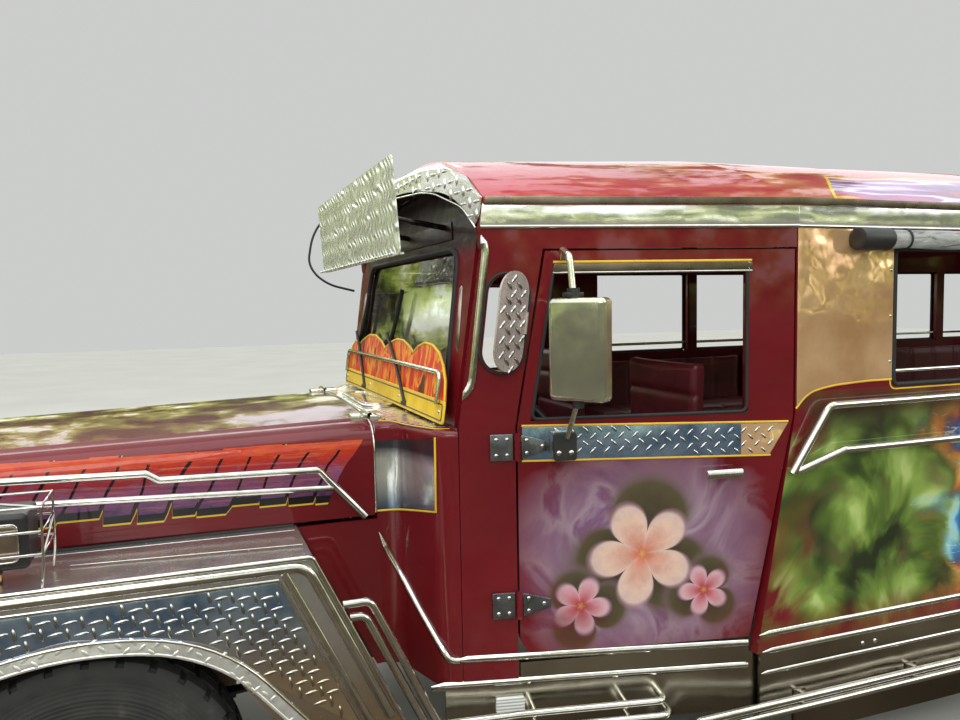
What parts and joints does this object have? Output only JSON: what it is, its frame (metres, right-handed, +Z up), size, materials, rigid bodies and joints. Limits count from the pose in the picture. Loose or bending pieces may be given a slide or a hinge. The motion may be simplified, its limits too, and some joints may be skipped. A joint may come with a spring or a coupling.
{
  "type": "jeepney",
  "caption": "Long open-sided passenger jeepney with a squared bonnet, stainless trim, a two-door cab, side benches and an open rear entrance; wheels, steering, doors and bonnet move.",
  "frame": {"origin": "on the ground at the middle of the vehicle's length and width", "axes": "+X forward, +Y to the vehicle's left, +Z up; wheels stand on z = 0"},
  "size_m": [6.4, 2.0902, 2.0627],
  "materials": {
    "body_paint": "gloss",
    "roof_paint": "gloss",
    "stainless": "polished",
    "chrome": "polished",
    "frame_paint": "satin",
    "cast_metal": "rough",
    "tyre": "matte",
    "rim_paint": "satin",
    "glass": "clear",
    "seat_cover": "grained",
    "rain_curtain": "translucent plastic sheet",
    "black_plastic": "matte",
    "lamp_lens": "clear lens over reflector"
  },
  "bodies": {
    "body": {"bench_cushions": "seat_cover", "bench_frames": "body_paint", "cab_quarters": "body_paint", "cab_seats": "seat_cover", "chassis_rails": "frame_paint", "cowl": "body_paint", "cross_members": "frame_paint", "dashboard": "black_plastic", "engine_block": "cast_metal", "exhaust_pipe": "cast_metal", "floor_pan": "body_paint", "front_axle": "frame_paint", "front_bumper": "stainless", "front_fenders": "stainless", "front_lamps": "lamp_lens", "fuel_tank": "frame_paint", "grab_rails": "chrome", "grille": "stainless", "header_rails": "body_paint", "leaf_springs": "frame_paint", "rear_axle": "frame_paint", "rear_corners": "body_paint", "rear_header": "body_paint", "rear_step": "stainless", "roll_curtains": "rain_curtain", "roof_brow": "stainless", "roof_shell": "roof_paint", "seat_boxes": "body_paint", "side_panels": "body_paint", "side_rails": "chrome", "side_skirts": "stainless", "step_rails": "chrome", "sun_visor": "stainless", "wheel_housings": "frame_paint", "window_posts": "body_paint", "windscreen_frame": "body_paint", "windscreen_glass": "glass"},
    "hood": {"hood": "body_paint", "hood_rails": "chrome"},
    "left_door": {"door_left": "body_paint", "mirror_left": "chrome"},
    "right_door": {"door_right": "body_paint", "mirror_right": "chrome"},
    "left_vent_flap": {"vent_flap_left": "stainless"},
    "right_vent_flap": {"vent_flap_right": "stainless"},
    "left_knuckle": {"knuckle_left": "cast_metal"},
    "right_knuckle": {"knuckle_right": "cast_metal"},
    "tie_rod": {"tie_rod": "cast_metal"},
    "steering_wheel": {"steering_wheel": "black_plastic"},
    "front_left_wheel": {"rim_front_left": "rim_paint", "tyre_front_left": "tyre"},
    "front_right_wheel": {"rim_front_right": "rim_paint", "tyre_front_right": "tyre"},
    "rear_left_wheel": {"rim_rear_left": "rim_paint", "tyre_rear_left": "tyre"},
    "rear_right_wheel": {"rim_rear_right": "rim_paint", "tyre_rear_right": "tyre"}
  },
  "joints": [
    {"name": "hood_hinge", "type": "hinge", "parent": "body", "child": "hood", "pos_m": [1.733, 0, 1.19], "axis": [0, -1, 0], "range_deg": [0, 50]},
    {"name": "left_door_hinge", "type": "hinge", "parent": "body", "child": "left_door", "pos_m": [1.3945, 0.78829, 0.9], "axis": [0, 0, -1], "range_deg": [0, 70]},
    {"name": "right_door_hinge", "type": "hinge", "parent": "body", "child": "right_door", "pos_m": [1.3945, -0.78829, 0.9], "axis": [0, 0, 1], "range_deg": [0, 70]},
    {"name": "left_vent_hinge", "type": "hinge", "parent": "body", "child": "left_vent_flap", "pos_m": [1.36576, 0.7944, 1.464], "axis": [-0.1192, 0.0253, 0.9925], "range_deg": [-26, 40]},
    {"name": "right_vent_hinge", "type": "hinge", "parent": "body", "child": "right_vent_flap", "pos_m": [1.36576, -0.7944, 1.464], "axis": [0.1192, 0.0253, -0.9925], "range_deg": [-26, 40]},
    {"name": "steer_left", "type": "hinge", "parent": "body", "child": "left_knuckle", "pos_m": [2.5, 0.64, 0.365], "axis": [0, 0, 1], "range_deg": [-30, 30]},
    {"name": "steer_right", "type": "hinge", "parent": "body", "child": "right_knuckle", "pos_m": [2.5, -0.64, 0.365], "axis": [0, 0, 1], "range_deg": [-30, 30]},
    {"name": "tie_rod_pivot", "type": "hinge", "parent": "left_knuckle", "child": "tie_rod", "pos_m": [2.35, 0.64, 0.3], "axis": [0, 0, 1], "range_deg": [-30, 30]},
    {"name": "steering_wheel_turn", "type": "hinge", "parent": "body", "child": "steering_wheel", "pos_m": [1.175, 0.4, 1.105], "axis": [-0.788, 0, 0.6157], "range_deg": [-450, 450]},
    {"name": "front_left_roll", "type": "hinge", "parent": "left_knuckle", "child": "front_left_wheel", "pos_m": [2.5, 0.76, 0.365], "axis": [0, 1, 0], "continuous": true},
    {"name": "front_right_roll", "type": "hinge", "parent": "right_knuckle", "child": "front_right_wheel", "pos_m": [2.5, -0.76, 0.365], "axis": [0, 1, 0], "continuous": true},
    {"name": "rear_left_roll", "type": "hinge", "parent": "body", "child": "rear_left_wheel", "pos_m": [-1.2, 0.79, 0.365], "axis": [0, 1, 0], "continuous": true},
    {"name": "rear_right_roll", "type": "hinge", "parent": "body", "child": "rear_right_wheel", "pos_m": [-1.2, -0.79, 0.365], "axis": [0, 1, 0], "continuous": true}
  ],
  "couplings": [
    {"joint": "steer_right", "follows": "steer_left", "ratio": 1},
    {"joint": "tie_rod_pivot", "follows": "steer_left", "ratio": -1},
    {"joint": "steering_wheel_turn", "follows": "steer_left", "ratio": 15}
  ]
}
